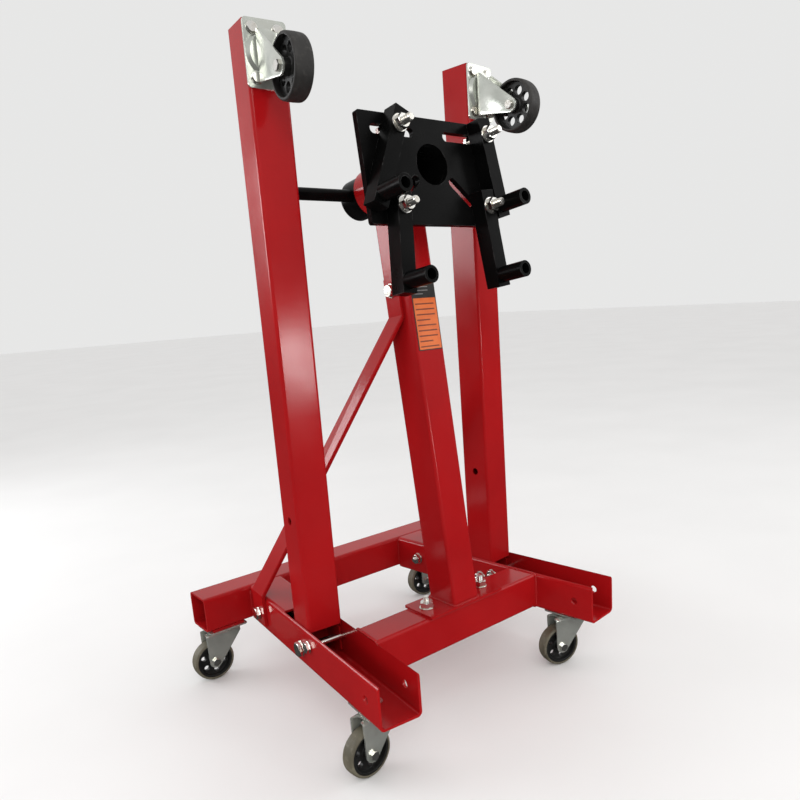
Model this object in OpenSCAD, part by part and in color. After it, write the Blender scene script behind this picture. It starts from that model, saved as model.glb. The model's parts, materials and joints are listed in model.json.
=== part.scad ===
// Folding engine stand: splayed base rails on casters, a leaning mast with a
// rotating mounting head, and two caster-tipped legs that fold down forwards.
// Millimetres. The floor is z = 0, x = 0 is the middle of the base, y = 0 is the
// line through the feet of the folded-up legs, and -Y is the front.

/* [Base] */
// Width of a base rail
rail_w = 70; // [68:0.5:80]
// Height of a base rail
rail_h = 70; // [68:0.5:80]
// Wall of the base rails
rail_wall = 4; // [3:0.5:5]
// Height of the rail undersides above the floor
rail_clear = 102; // [95:1:120]
// Outward splay of each rail and leg, in degrees
splay = 6.1; // [4:0.1:8]
// Distance of each leg foot from the middle plane
leg_x = 203; // [195:1:220]
// Reach of the rails in front of the legs
rail_front = 260; // [245:1:290]
// Front face of the rear tube, behind the legs
rear_face_y = 229; // [225:1:245]
// Size of the square rear tube
rear_size = 65; // [60:1:70]
// Length of the rear tube
rear_len = 610; // [590:5:640]
// Size of the square cross tube
cross_size = 65; // [60:1:66]
// Centre of the cross tube, in front of the legs
cross_y = -110; // [-120:1:-100]

/* [Legs] */
// Size of the square leg tube
leg_size = 60; // [58:0.5:60]
// Wall of the leg tube
leg_wall = 3; // [2.5:0.5:4]
// Height of the leg tops above the floor
leg_top = 1076; // [1050:1:1100]

/* [Mast] */
// Backward lean of the mast, in degrees
mast_lean = 7; // [5:0.5:9]
// Sideways place of the mast
mast_x = 8; // [0:1:10]
// Width of the mast tube
mast_w = 56; // [50:1:60]
// Depth of the mast tube
mast_d = 66; // [60:1:70]
// Height of the head axis above the mast's foot
head_height = 704; // [680:1:720]

/* [Head] */
// Width of the head plate
plate_w = 258; // [250:1:262]
// Reach of the head plate above the head axis
plate_up = 68; // [66:1:74]
// Reach of the head plate below the head axis
plate_down = 91; // [88:1:100]
// Thickness of the head plate
plate_t = 10; // [8:1:12]
// Front face of the head plate, ahead of the mast's middle
plate_ahead = 98; // [94:1:104]
// Outer radius of the rotating head tube
tube_r = 34; // [32:0.5:35]
// Outer radius of the fixed head sleeve
sleeve_r = 38.5; // [37.5:0.5:41]
// Length of the turning bar
handle_len = 340; // [320:5:380]

/* [Mounting arms] */
// Width of an arm bar
arm_w = 25; // [22:0.5:26]
// Depth of an arm bar
arm_d = 28; // [25:0.5:30]
// Distance from an arm's bolt to its finger
arm_reach = 108; // [104:1:110]
// Outer radius of a finger
finger_r = 12.5; // [11:0.5:13]
// Bore radius of a finger
finger_bore = 8; // [6:0.5:8.5]
// Length of a finger in front of its bar
finger_len = 50; // [40:1:55]

/* [Casters] */
// Radius of the base wheels
base_wheel_r = 38; // [36:0.5:38]
// Width of the base wheels
base_wheel_w = 23; // [20:0.5:24]
// Trail of the base casters
base_trail = 27; // [22:1:28]
// Radius of the leg wheels
leg_wheel_r = 42; // [38:0.5:43]
// Width of the leg wheels
leg_wheel_w = 27.5; // [24:0.5:28]
// Trail of the leg casters
leg_trail = 37; // [30:1:38]
// Height of the leg casters, from mounting face to tread
leg_caster_h = 121; // [119:1:125]

/* [Hidden] */
$fn = 64;

paint_red = "#a3141f";
black_paint = "#161616";
zinc = "#c9cbc6";
wheel_black = "#1b1b1a";
tread_tan = "#6f6a55";
label_orange = "#d9622b";

reach = 800;            // longer than any cut needs to be
touch_gap = 0.3;        // between faces that slide past each other
fit_gap = 0.08;         // radial clearance of pins and axles

// Base
rail_top = rail_clear + rail_h;
rail_floor = rail_clear + rail_wall;
rail_corner = 8;
rail_rear = rear_face_y + 20;
trough_y = 69;          // the rails are open on top in front of this line
rear_y = rear_face_y + rear_size / 2;
rear_z = rail_top - rear_size / 2;
rear_corner = 7;
pad_t = rail_top - rear_size - rail_clear;
cross_top = rail_top - 1.5;
cross_z = cross_top - cross_size / 2;
cross_corner = 6;

// Leg pivot, in the frame of one side: x outwards to the right, -y to the front
leg_wall_gap = 1.5;
pivot_back = 5;         // the pivot sits ahead of the leg's middle by this much
pivot_y = -pivot_back;
leg_ahead = leg_size / 2 - pivot_back;
pivot_z = rail_floor + leg_ahead + leg_wall_gap;
pivot_r = 6;
stop_r = 4;
stop_ahead = leg_ahead + 5;
stop_up = 13.7;
stop_y = pivot_y - stop_ahead;
stop_z = pivot_z + stop_up;
stop_swing = norm([stop_ahead, stop_up]);
stop_angle = atan2(stop_up, stop_ahead);
stop_travel = 98;       // a quarter turn and some clearance, in degrees
foot_r = 24.5;
front_wall_z = pivot_z + stop_swing + 0.5;
lock_up = 218;
lock_r = 6.5;
leg_corner = 5;
leg_cap = 4;

// Brace straps
strap_t = 6;
brace_y = 172;
brace_z = rail_clear + rail_h / 2;
brace_bolt_r = 5;
brace_low_w = 48;
brace_high_w = 36;
brace_high_y = 6;
brace_high_z = 532;
brace_tab = 20;
brace_bend = 44;

// Mast
foot_t = 4;
foot_z = cross_top + foot_t;
foot_w = 164;
foot_d = 74;
mast_y = cross_y;
mast_wall = 3;
mast_corner = 5;
mast_bolt_x = 62;
mast_bolt_r = 6;
label_w = 50;
label_h = 128;
label_t = 0.4;
label_low = 428;

// Head, in the mast's frame: z up the mast, -y along the head axis to the front
tube_wall = 3.5;
sleeve_front = -74;
sleeve_back = 62;
tube_back = 110;
handle_y = 82;
handle_r = 10;
handle_shift = -40;
cap_r = 12.5;
cap_len = 26;
index_y = -8;
index_r = 6;
index_holes = 6;
guide_r = 12;
guide_top = sleeve_r + 24;
index_lift = 11;
slot_w = 14;
slot_z = 44;
slot_in = 36;
slot_out = 102;
low_slot_in = [37, -25];
low_slot_out = [93, -74];
plate_corner = 4;
arm_top = 25;
arm_end = 18;
stud_r = 6;
front_y = -plate_ahead;

// Casters: frame of one caster has its mounting face at z = 0, the swivel axis on
// z, the tread at z = -height, and the axle behind the swivel axis along +x.
base_caster_h = rail_clear;
base_plate = [64, 74, 2.5];
leg_plate = [64, 90, 3];
race_h = 4;
crown_t = 6;
crown_r = 32;
cheek_back = 27;        // reach of a fork cheek's top ahead of the swivel axis
cheek_front = 41;       // and behind it, over the wheel
king_r = 5;
fork_t = 3;
fork_gap = 1.6;
axle_r = 4;
base_tread = 5;
leg_tread = 2.5;
base_rim = 4;
leg_rim = 2;
hole_share = 0.3;       // lightening hole radius as a share of the wheel disc's width
front_caster_y = -190;
rear_caster_x = 263;
stem_r = king_r + 0.9;
rivet_head = 1.1;       // low enough for a folded leg to pass over
screw_x = 32;           // half spacing of the leg caster screws down the leg
screw_y = 19;           // and across it
screw_r = 4;
screw_head = 4;         // low enough for the fork's crown to pass over
leg_caster_z = leg_top - leg_plate[1] / 2;

// ---------------------------------------------------------------- frames
module on_side(side) {
    translate([side * leg_x, 0, 0]) rotate([0, 0, side * splay]) children();
}

module on_mast() {
    translate([mast_x, mast_y, foot_z]) rotate([-mast_lean, 0, 0]) children();
}

module on_head() {
    on_mast() translate([0, 0, head_height]) children();
}

// ---------------------------------------------------------------- shared shapes
module rounded_rect(w, h, r) {
    square([w - 2 * r, h], center = true);
    square([w, h - 2 * r], center = true);
    for (x = [-1, 1], y = [-1, 1])
        translate([x * (w / 2 - r), y * (h / 2 - r)]) circle(r = r);
}

// Hollow rectangular tube standing on z = 0
module box_tube(w, h, wall, r, length) {
    linear_extrude(length) difference() {
        rounded_rect(w, h, r);
        rounded_rect(w - 2 * wall, h - 2 * wall, max(r - wall, 1));
    }
}

// Bar with round ends, for slots
module slot_shape(a, b, w) {
    run = b - a;
    translate(a) rotate(atan2(run[1], run[0])) {
        circle(d = w);
        translate([0, -w / 2]) square([norm(run), w]);
        translate([norm(run), 0]) circle(d = w);
    }
}

// Cylinder along X through (y, z)
module cross_rod(r, y, z, length = reach) {
    translate([0, y, z]) rotate([0, 90, 0]) cylinder(r = r, h = length, center = true);
}

module hex(across, height) {
    cylinder(d = across / cos(30), h = height, $fn = 6);
}

// Bolt along +x: head outside -grip / 2, washer and nut outside +grip / 2
module cross_bolt(r, grip, across, tail) {
    head_t = 1.3 * r;
    washer_t = 2;
    rotate([0, 90, 0]) {
        translate([0, 0, -grip / 2]) cylinder(r = r, h = grip + washer_t + head_t + tail);
        translate([0, 0, -grip / 2 - washer_t]) cylinder(r = 1.9 * r, h = washer_t);
        translate([0, 0, -grip / 2 - washer_t - head_t]) hex(across, head_t);
    }
    rotate([0, 90, 0]) difference() {
        union() {
            translate([0, 0, grip / 2]) cylinder(r = 1.9 * r, h = washer_t);
            translate([0, 0, grip / 2 + washer_t]) hex(across, 1.5 * r);
        }
        cylinder(r = r + 0.05, h = reach);
    }
}

// ---------------------------------------------------------------- base frame
module rail_body() {
    difference() {
        translate([0, rail_rear, rail_clear + rail_h / 2]) rotate([90, 0, 0])
            box_tube(rail_w, rail_h, rail_wall, rail_corner, rail_rear + rail_front);
        translate([-rail_w / 2 + rail_wall, -reach + trough_y, rail_top - rail_wall - 8])
            cube([rail_w - 2 * rail_wall, reach, 50]);
        cross_rod(pivot_r + 0.2, pivot_y, pivot_z);
        cross_rod(stop_r + 0.2, stop_y, stop_z);
        cross_rod(lock_r, pivot_y - lock_up, pivot_z + pivot_back);
        cross_rod(brace_bolt_r + 0.2, brace_y, brace_z);
        translate([0, front_caster_y, rail_clear - 5]) cylinder(r = king_r + 1, h = 20);
    }
}

module rail(side) {
    color(paint_red) difference() {
        on_side(side) rail_body();
        translate([-reach, rear_face_y, 0]) cube([2 * reach, reach, rail_top + 50]);
    }
}

module rear_tube() {
    color(paint_red) difference() {
        union() {
            translate([-rear_len / 2, rear_y, rear_z]) rotate([90, 0, 90])
                box_tube(rear_size, rear_size, rail_wall, rear_corner, rear_len);
            for (s = [-1, 1])
                translate([s * rear_caster_x, rear_y, rail_clear + pad_t / 2])
                    cube([base_plate[0] - 2, rear_size - 8, pad_t], center = true);
        }
        for (s = [-1, 1])
            translate([s * rear_caster_x, rear_y, rail_clear - 5]) cylinder(r = king_r + 1, h = 30);
    }
}

module cross_tube() {
    side_wall = rail_w / 2;
    color(paint_red) difference() {
        translate([-rear_len / 2, cross_y, cross_z]) rotate([90, 0, 90])
            box_tube(cross_size, cross_size, rail_wall, cross_corner, rear_len);
        for (side = [-1, 1]) {
            on_side(side) translate([side * (reach / 2 - side_wall), 0, 0])
                cube([reach, reach, reach], center = true);
            translate([mast_x + side * mast_bolt_x, cross_y, 0])
                cylinder(r = mast_bolt_r + 0.2, h = reach);
        }
    }
}

module brace(side) {
    low_x = side * (rail_w / 2 + strap_t / 2);
    high_x = side * (mast_w / 2 + strap_t / 2);
    bar_z = rail_top + 5;
    color(paint_red) {
        on_side(side) difference() {
            translate([low_x, brace_y, (brace_z - brace_tab + bar_z) / 2])
                cube([strap_t, brace_low_w, bar_z - brace_z + brace_tab], center = true);
            cross_rod(brace_bolt_r + 0.2, brace_y, brace_z);
        }
        hull() {
            on_side(side) translate([low_x, brace_y, bar_z - 2])
                cube([strap_t, brace_low_w, 4], center = true);
            on_mast() translate([high_x, brace_high_y, brace_high_z - brace_bend])
                cube([strap_t, brace_high_w, 4], center = true);
        }
        on_mast() difference() {
            translate([high_x, brace_high_y, brace_high_z + (brace_tab - brace_bend) / 2])
                cube([strap_t, brace_high_w, brace_tab + brace_bend], center = true);
            cross_rod(brace_bolt_r + 0.2, brace_high_y, brace_high_z);
        }
    }
}

module brace_bolts() {
    color(zinc) for (side = [-1, 1]) {
        on_side(side) translate([side * strap_t / 2, brace_y, brace_z]) mirror([side < 0 ? 0 : 1, 0, 0])
            cross_bolt(brace_bolt_r, rail_w + strap_t, 17, 6);
    }
    color(zinc) on_mast() translate([0, brace_high_y, brace_high_z])
        cross_bolt(brace_bolt_r, mast_w + 2 * strap_t, 17, 6);
}

module pivot_bolts() {
    color(zinc) for (side = [-1, 1])
        on_side(side) translate([0, pivot_y, pivot_z]) mirror([side < 0 ? 0 : 1, 0, 0])
            cross_bolt(pivot_r, rail_w, 19, 5);
}

module stop_bolts() {
    color(zinc) for (side = [-1, 1])
        on_side(side) translate([0, stop_y, stop_z]) mirror([side < 0 ? 0 : 1, 0, 0])
            cross_bolt(stop_r, rail_w, 14, 5);
}

// ---------------------------------------------------------------- mast
module mast_post() {
    color(paint_red) difference() {
        union() {
            difference() {
                on_mast() translate([0, 0, -20]) box_tube(mast_w, mast_d, mast_wall, mast_corner,
                    head_height - sleeve_r + 32);
                translate([-reach / 2, -reach / 2, -reach + foot_z]) cube(reach);
                on_head() rotate([90, 0, 0]) cylinder(r = sleeve_r, h = reach, center = true);
            }
            translate([mast_x, mast_y, cross_top]) linear_extrude(foot_t)
                rounded_rect(foot_w, foot_d, 3);
        }
        for (side = [-1, 1])
            translate([mast_x + side * mast_bolt_x, cross_y, 0]) cylinder(r = mast_bolt_r + 0.2, h = reach);
        on_mast() cross_rod(brace_bolt_r + 0.2, brace_high_y, brace_high_z);
    }
}

module head_sleeve() {
    color(paint_red) on_head() difference() {
        translate([0, sleeve_back, 0]) rotate([90, 0, 0])
            cylinder(r = sleeve_r, h = sleeve_back - sleeve_front);
        rotate([90, 0, 0]) cylinder(r = tube_r + fit_gap, h = reach, center = true);
        translate([0, index_y, 0]) cylinder(r = index_r + fit_gap, h = reach);
    }
}

module pin_guide() {
    color(paint_red) on_head() difference() {
        translate([0, index_y, sleeve_r - 10]) cylinder(r = guide_r, h = guide_top - sleeve_r + 10);
        rotate([90, 0, 0]) cylinder(r = sleeve_r, h = reach, center = true);
        translate([0, index_y, 0]) cylinder(r = index_r + fit_gap, h = reach);
    }
}

module mast_label() {
    color(label_orange) on_mast()
        translate([-label_w / 2, -mast_d / 2 - label_t, label_low]) cube([label_w, label_t, label_h]);
}

module mast_bolts() {
    color(zinc) for (side = [-1, 1])
        translate([mast_x + side * mast_bolt_x, cross_y, (cross_top + foot_t + cross_z - cross_size / 2) / 2])
            rotate([0, -90, 0]) cross_bolt(mast_bolt_r, cross_size + foot_t, 19, 9);
}

// ---------------------------------------------------------------- legs
// Side outline of the leg foot that is left inside the rail, round under the pivot
module leg_foot_cut() {
    // space in front of and below the pivot
    difference() {
        translate([-reach / 2, pivot_y - leg_size, rail_floor - 20])
            cube([reach, leg_size, pivot_z - rail_floor + 20]);
        cross_rod(foot_r, pivot_y, pivot_z);
    }
    // path of the stop bolt round the pivot, open to the front
    difference() {
        cross_rod(stop_swing + stop_r + 0.5, pivot_y, pivot_z);
        cross_rod(stop_swing - stop_r - 0.5, pivot_y, pivot_z);
        translate([0, pivot_y, pivot_z]) rotate([90 - stop_angle - stop_travel, 0, 0])
            translate([-reach / 2, 0, -reach]) cube([reach, reach, 2 * reach]);
        translate([-reach / 2, -reach, pivot_z - reach]) cube([reach, 2 * reach, reach]);
    }
}

module leg(side) {
    foot_z0 = rail_floor + 1.8;     // clear of the rail's inner corners
    color(paint_red) on_side(side) difference() {
        union() {
            translate([0, 0, foot_z0])
                box_tube(leg_size, leg_size, leg_wall, leg_corner, leg_top - foot_z0);
            translate([0, 0, leg_top - leg_cap]) linear_extrude(leg_cap)
                rounded_rect(leg_size - 2, leg_size - 2, leg_corner - 1);
        }
        leg_foot_cut();
        translate([-reach / 2, -leg_size, 0]) cube([reach, leg_size - leg_ahead + leg_wall, front_wall_z - 4]);
        translate([-leg_size / 2 + leg_wall, -leg_size, 0]) cube([leg_size - 2 * leg_wall, leg_size, front_wall_z]);
        cross_rod(pivot_r + fit_gap, pivot_y, pivot_z);
        cross_rod(lock_r, 0, pivot_z + lock_up);
        for (x = [-1, 1], z = [-1, 1])
            translate([x * screw_y, 0, leg_caster_z + z * screw_x]) rotate([90, 0, 0])
                cylinder(r = screw_r + 0.2, h = leg_size);
    }
}

// ---------------------------------------------------------------- casters
BASE = ["rear_left", "rear_right", "front_left", "front_right"];
function is_rear(name) = name == "rear_left" || name == "rear_right";
function side_of(name) = name == "rear_left" || name == "front_left" ? -1 : 1;
// Direction that each base caster trails in
function trail_turn(name) = name == "rear_left" ? 178 : name == "rear_right" ? 172
    : name == "front_left" ? 184 : 164;

// Mounting face of a base caster, square to its tube
module on_base_pad(name) {
    side = side_of(name);
    if (is_rear(name))
        translate([side * rear_caster_x, rear_y, rail_clear]) children();
    else
        on_side(side) translate([0, front_caster_y, rail_clear]) children();
}

module on_base_caster(name) {
    on_base_pad(name) rotate(trail_turn(name) - (is_rear(name) ? 0 : side_of(name) * splay)) children();
}

// Leg casters face forwards with the wheel hanging down
module on_leg_caster(side) {
    on_side(side) translate([0, -leg_size / 2, leg_caster_z]) rotate([-90, 0, 0]) rotate(90) children();
}

module caster_plate(size, holes) {
    difference() {
        union() {
            translate([0, 0, -size[2]]) linear_extrude(size[2]) rounded_rect(size[1], size[0], 6);
            translate([0, 0, -size[2] - race_h]) cylinder(r1 = crown_r - 6, r2 = crown_r - 1, h = race_h);
            translate([0, 0, -size[2] - race_h - touch_gap - crown_t - 3])
                cylinder(r = king_r, h = race_h + crown_t + 4);
            translate([0, 0, -size[2] - race_h - 2 * touch_gap - crown_t - 3]) cylinder(r = 2 * king_r, h = 3);
        }
        if (holes)
            for (x = [-1, 1], y = [-1, 1])
                translate([x * screw_x, y * screw_y, -reach / 2]) cylinder(r = screw_r + 0.2, h = reach);
    }
}

// Fork with flat cheeks that run from the crown to round tips at the axle
module fork(plate_t, height, wheel_r, wheel_w, trail) {
    top = -plate_t - race_h - touch_gap;
    drop = -height + wheel_r;
    inner = wheel_w / 2 + fork_gap;
    tip = 12;
    lean = atan2(cheek_back + trail - tip, top - drop);
    difference() {
        union() {
            translate([0, 0, top - crown_t]) cylinder(r = crown_r, h = crown_t);
            for (s = [-1, 1])
                translate([0, s * (inner + fork_t / 2) + fork_t / 2, 0]) rotate([90, 0, 0]) linear_extrude(fork_t) {
                    polygon([[-cheek_back, top - 1], [cheek_front, top - 1], [cheek_front, top - crown_t - 2],
                        [trail + tip * cos(lean / 2), drop + tip * sin(lean / 2)],
                        [trail - tip * cos(lean), drop - tip * sin(lean)], [-cheek_back, top - crown_t - 2]]);
                    translate([trail, drop]) circle(r = tip);
                }
        }
        cylinder(r = king_r + fit_gap, h = reach, center = true);
        translate([trail, 0, drop]) rotate([90, 0, 0]) cylinder(r = axle_r + fit_gap, h = reach, center = true);
    }
}

module caster_axle(height, wheel_r, wheel_w, trail) {
    outside = wheel_w / 2 + fork_gap + fork_t;
    translate([trail, 0, -height + wheel_r]) rotate([90, 0, 0]) {
        translate([0, 0, -outside - 5]) cylinder(r = axle_r, h = 2 * outside + 11);
        translate([0, 0, -outside - 5]) hex(13, 5);
        difference() {
            translate([0, 0, outside]) hex(13, 6);
            cylinder(r = axle_r + 0.05, h = reach);
        }
    }
}

// Wheel with a stepped disc, lightening holes and a hub, on its own axle line
module wheel(r, w, holes, tread, rim) {
    rim_r = r - tread;
    disc = w * 0.3;
    rotate([90, 0, 0]) difference() {
        rotate_extrude() polygon([[0, w / 2 + 0.8], [11, w / 2 + 0.8], [11, disc / 2 + 1], [13, disc / 2],
            [rim_r - rim - 1, disc / 2], [rim_r - rim, w / 2 - 1], [rim_r, w / 2 - 1],
            [rim_r, -w / 2 + 1], [rim_r - rim, -w / 2 + 1], [rim_r - rim - 1, -disc / 2],
            [13, -disc / 2], [11, -disc / 2 - 1], [11, -w / 2 - 0.8], [0, -w / 2 - 0.8]]);
        cylinder(r = axle_r + fit_gap, h = reach, center = true);
        for (i = [0 : holes - 1])
            rotate(i * 360 / holes + 20) translate([(rim_r - rim + 11) / 2, 0, 0])
                cylinder(r = hole_share * (rim_r - rim - 13), h = reach, center = true);
    }
}

module tyre(r, w, tread) {
    edge = min(4, tread * 0.8);
    rotate([90, 0, 0]) difference() {
        union() {
            cylinder(r = r, h = w - 2 * edge, center = true);
            for (s = [-1, 1])
                translate([0, 0, s * (w / 2 - edge)]) rotate_extrude() intersection() {
                    translate([r - edge, 0]) circle(r = edge);
                    translate([0, -2 * edge]) square([2 * r, 4 * edge]);
                }
            cylinder(r = r - edge, h = w, center = true);
        }
        cylinder(r = r - tread, h = reach, center = true);
    }
}

module at_axle(height, wheel_r, trail) {
    translate([trail, 0, -height + wheel_r]) children();
}

module base_fork(name) {
    color(zinc) on_base_caster(name)
        fork(base_plate[2], base_caster_h, base_wheel_r, base_wheel_w, base_trail);
}

module base_axle(name) {
    color(zinc) on_base_caster(name) caster_axle(base_caster_h, base_wheel_r, base_wheel_w, base_trail);
}

module base_wheel(name) {
    color(wheel_black) on_base_caster(name) at_axle(base_caster_h, base_wheel_r, base_trail)
        wheel(base_wheel_r, base_wheel_w, 6, base_tread, base_rim);
}

module base_tyre(name) {
    color(tread_tan) on_base_caster(name) at_axle(base_caster_h, base_wheel_r, base_trail)
        tyre(base_wheel_r, base_wheel_w, base_tread);
}

module leg_fork(side) {
    color(zinc) on_leg_caster(side) fork(leg_plate[2], leg_caster_h, leg_wheel_r, leg_wheel_w, leg_trail);
}

module leg_axle(side) {
    color(zinc) on_leg_caster(side) caster_axle(leg_caster_h, leg_wheel_r, leg_wheel_w, leg_trail);
}

module leg_wheel(side) {
    color(wheel_black) on_leg_caster(side) at_axle(leg_caster_h, leg_wheel_r, leg_trail)
        wheel(leg_wheel_r, leg_wheel_w, 8, leg_tread, leg_rim);
}

module leg_tyre(side) {
    color(wheel_black) on_leg_caster(side) at_axle(leg_caster_h, leg_wheel_r, leg_trail)
        tyre(leg_wheel_r, leg_wheel_w, leg_tread);
}

module base_caster_plates() {
    color(zinc) for (name = BASE)
        on_base_pad(name) rotate(is_rear(name) ? 0 : 90) caster_plate(base_plate, false);
}

// Stem of each base caster: riveted over in the rails, with a nut in the rear tube
module base_caster_nuts() {
    color(zinc) for (name = BASE)
        on_base_pad(name) translate([0, 0, 0.05])
            if (is_rear(name)) {
                cylinder(r = stem_r, h = rail_wall + pad_t + 12);
                translate([0, 0, rail_wall + pad_t]) cylinder(r = 11, h = 1.6);
                translate([0, 0, rail_wall + pad_t + 1.6]) hex(18, 7);
            } else {
                cylinder(r = stem_r, h = rail_wall);
                translate([0, 0, rail_wall]) cylinder(r = 9, h = rivet_head);
            }
}

module leg_plate_node(side) {
    color(zinc) on_leg_caster(side) caster_plate(leg_plate, true);
}

module leg_screws(side) {
    color(zinc) on_leg_caster(side) for (x = [-1, 1], y = [-1, 1])
        translate([x * screw_x, y * screw_y, 0]) {
            translate([0, 0, -leg_plate[2] - screw_head])
                cylinder(r = screw_r, h = leg_plate[2] + screw_head + leg_wall + 8);
            translate([0, 0, -leg_plate[2] - screw_head]) hex(13, screw_head);
            translate([0, 0, leg_wall]) hex(13, 6);
        }
}

// ---------------------------------------------------------------- head
module head_plate() {
    mid = (plate_up - plate_down) / 2;
    color(black_paint) on_head() translate([0, front_y + plate_t, 0]) rotate([90, 0, 0])
        linear_extrude(plate_t) difference() {
            translate([0, mid]) rounded_rect(plate_w, plate_up + plate_down, plate_corner);
            circle(r = tube_r - tube_wall);
            for (side = [-1, 1]) {
                slot_shape([side * slot_in, slot_z], [side * slot_out, slot_z], slot_w);
                slot_shape([side * low_slot_in[0], low_slot_in[1]],
                    [side * low_slot_out[0], low_slot_out[1]], slot_w);
            }
        }
}

module head_tube() {
    color(black_paint) on_head() difference() {
        translate([0, tube_back, 0]) rotate([90, 0, 0])
            cylinder(r = tube_r, h = tube_back - front_y - plate_t);
        rotate([90, 0, 0]) cylinder(r = tube_r - tube_wall, h = reach, center = true);
        cross_rod(handle_r + fit_gap, handle_y, 0);
        for (i = [0 : index_holes - 1])
            translate([0, index_y, 0]) rotate([0, i * 360 / index_holes, 0]) cylinder(r = index_r + 0.4, h = reach);
    }
}

module handle_bar() {
    color(black_paint) on_head() translate([handle_shift, handle_y, 0]) rotate([0, 90, 0])
        cylinder(r = handle_r, h = handle_len, center = true);
}

module handle_caps() {
    color(black_paint) on_head() for (s = [-1, 1])
        translate([handle_shift + s * (handle_len / 2 - cap_len / 2 + 3), handle_y, 0]) rotate([0, s * 90, 0])
            difference() {
                translate([0, 0, -cap_len / 2]) cylinder(r = cap_r, h = cap_len);
                translate([0, 0, -cap_len / 2 - 1]) cylinder(r = handle_r, h = cap_len - 2);
            }
}

module index_pin() {
    knob_z = guide_top + index_lift;
    color(zinc) on_head() translate([0, index_y, 0]) {
        translate([0, 0, tube_r + 0.6]) cylinder(r = index_r, h = knob_z - tube_r);
        translate([0, 0, knob_z]) cylinder(r = 11, h = 10);
    }
}

// ---------------------------------------------------------------- mounting arms
// Bolt place on the head plate and outward tilt of each arm
function arm_bolt(name) = name == "upper_left" ? [-77, slot_z] : name == "upper_right" ? [98, slot_z]
    : name == "lower_left" ? [-88, -69.6] : [84, -66.1];
function arm_tilt(name) = name == "upper_left" ? 24.7 : name == "upper_right" ? -8
    : name == "lower_left" ? 5.8 : -5;

module on_arm(name) {
    on_head() translate([arm_bolt(name)[0], front_y, arm_bolt(name)[1]]) children();
}

module arm(name) {
    color(black_paint) on_arm(name) rotate([0, arm_tilt(name), 0]) translate([0, -touch_gap, 0]) difference() {
        union() {
            translate([-arm_w / 2, -arm_d, -arm_reach - arm_end])
                cube([arm_w, arm_d, arm_reach + arm_end + arm_top]);
            translate([0, 0, -arm_reach]) rotate([90, 0, 0]) cylinder(r = finger_r, h = arm_d + finger_len);
        }
        rotate([90, 0, 0]) cylinder(r = stud_r + fit_gap, h = reach, center = true);
        translate([0, 0, -arm_reach]) rotate([90, 0, 0]) cylinder(r = finger_bore, h = reach, center = true);
    }
}

module arm_stud(name) {
    grip = plate_t + 2 * touch_gap + arm_d;
    washer_t = 2.5;
    nut_t = 10;
    tail = 17;
    color(zinc) on_arm(name) rotate([90, 0, 0]) {
        translate([0, 0, -plate_t - touch_gap - 7]) hex(19, 7);
        translate([0, 0, -plate_t - touch_gap - 1])
            cylinder(r = stud_r, h = grip + washer_t + nut_t + tail + touch_gap);
        difference() {
            union() {
                translate([0, 0, arm_d + 2 * touch_gap]) cylinder(r = 13, h = washer_t);
                translate([0, 0, arm_d + 2 * touch_gap + washer_t]) hex(19, nut_t);
            }
            cylinder(r = stud_r + 0.05, h = reach);
        }
    }
}

rear_tube();
rail(-1);  // rail_left
rail(1);  // rail_right
cross_tube();
mast_post();
head_sleeve();
pin_guide();
brace(-1);  // brace_left
brace(1);  // brace_right
mast_label();
mast_bolts();
brace_bolts();
pivot_bolts();
stop_bolts();
base_caster_plates();
base_caster_nuts();
leg(-1);  // leg_left
leg(1);  // leg_right
leg_plate_node(-1);  // leg_plate_left
leg_plate_node(1);  // leg_plate_right
leg_screws(-1);  // leg_screws_left
leg_screws(1);  // leg_screws_right
base_fork("rear_left");  // fork_rear_left
base_fork("rear_right");  // fork_rear_right
base_fork("front_left");  // fork_front_left
base_fork("front_right");  // fork_front_right
leg_fork(-1);  // fork_leg_left
leg_fork(1);  // fork_leg_right
base_axle("rear_left");  // axle_rear_left
base_axle("rear_right");  // axle_rear_right
base_axle("front_left");  // axle_front_left
base_axle("front_right");  // axle_front_right
leg_axle(-1);  // axle_leg_left
leg_axle(1);  // axle_leg_right
base_wheel("rear_left");  // wheel_rear_left
base_wheel("rear_right");  // wheel_rear_right
base_wheel("front_left");  // wheel_front_left
base_wheel("front_right");  // wheel_front_right
leg_wheel(-1);  // wheel_leg_left
leg_wheel(1);  // wheel_leg_right
base_tyre("rear_left");  // tyre_rear_left
base_tyre("rear_right");  // tyre_rear_right
base_tyre("front_left");  // tyre_front_left
base_tyre("front_right");  // tyre_front_right
leg_tyre(-1);  // tyre_leg_left
leg_tyre(1);  // tyre_leg_right
head_plate();
head_tube();
handle_bar();
handle_caps();
index_pin();
arm("upper_left");  // arm_upper_left
arm("upper_right");  // arm_upper_right
arm("lower_left");  // arm_lower_left
arm("lower_right");  // arm_lower_right
arm_stud("upper_left");  // stud_upper_left
arm_stud("upper_right");  // stud_upper_right
arm_stud("lower_left");  // stud_lower_left
arm_stud("lower_right");  // stud_lower_right
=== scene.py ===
"""Folding engine stand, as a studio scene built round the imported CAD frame."""
import json
from math import atan2, cos, pi, radians, sin, tan

import bmesh
import bpy
from mathutils import Matrix, Vector


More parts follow.
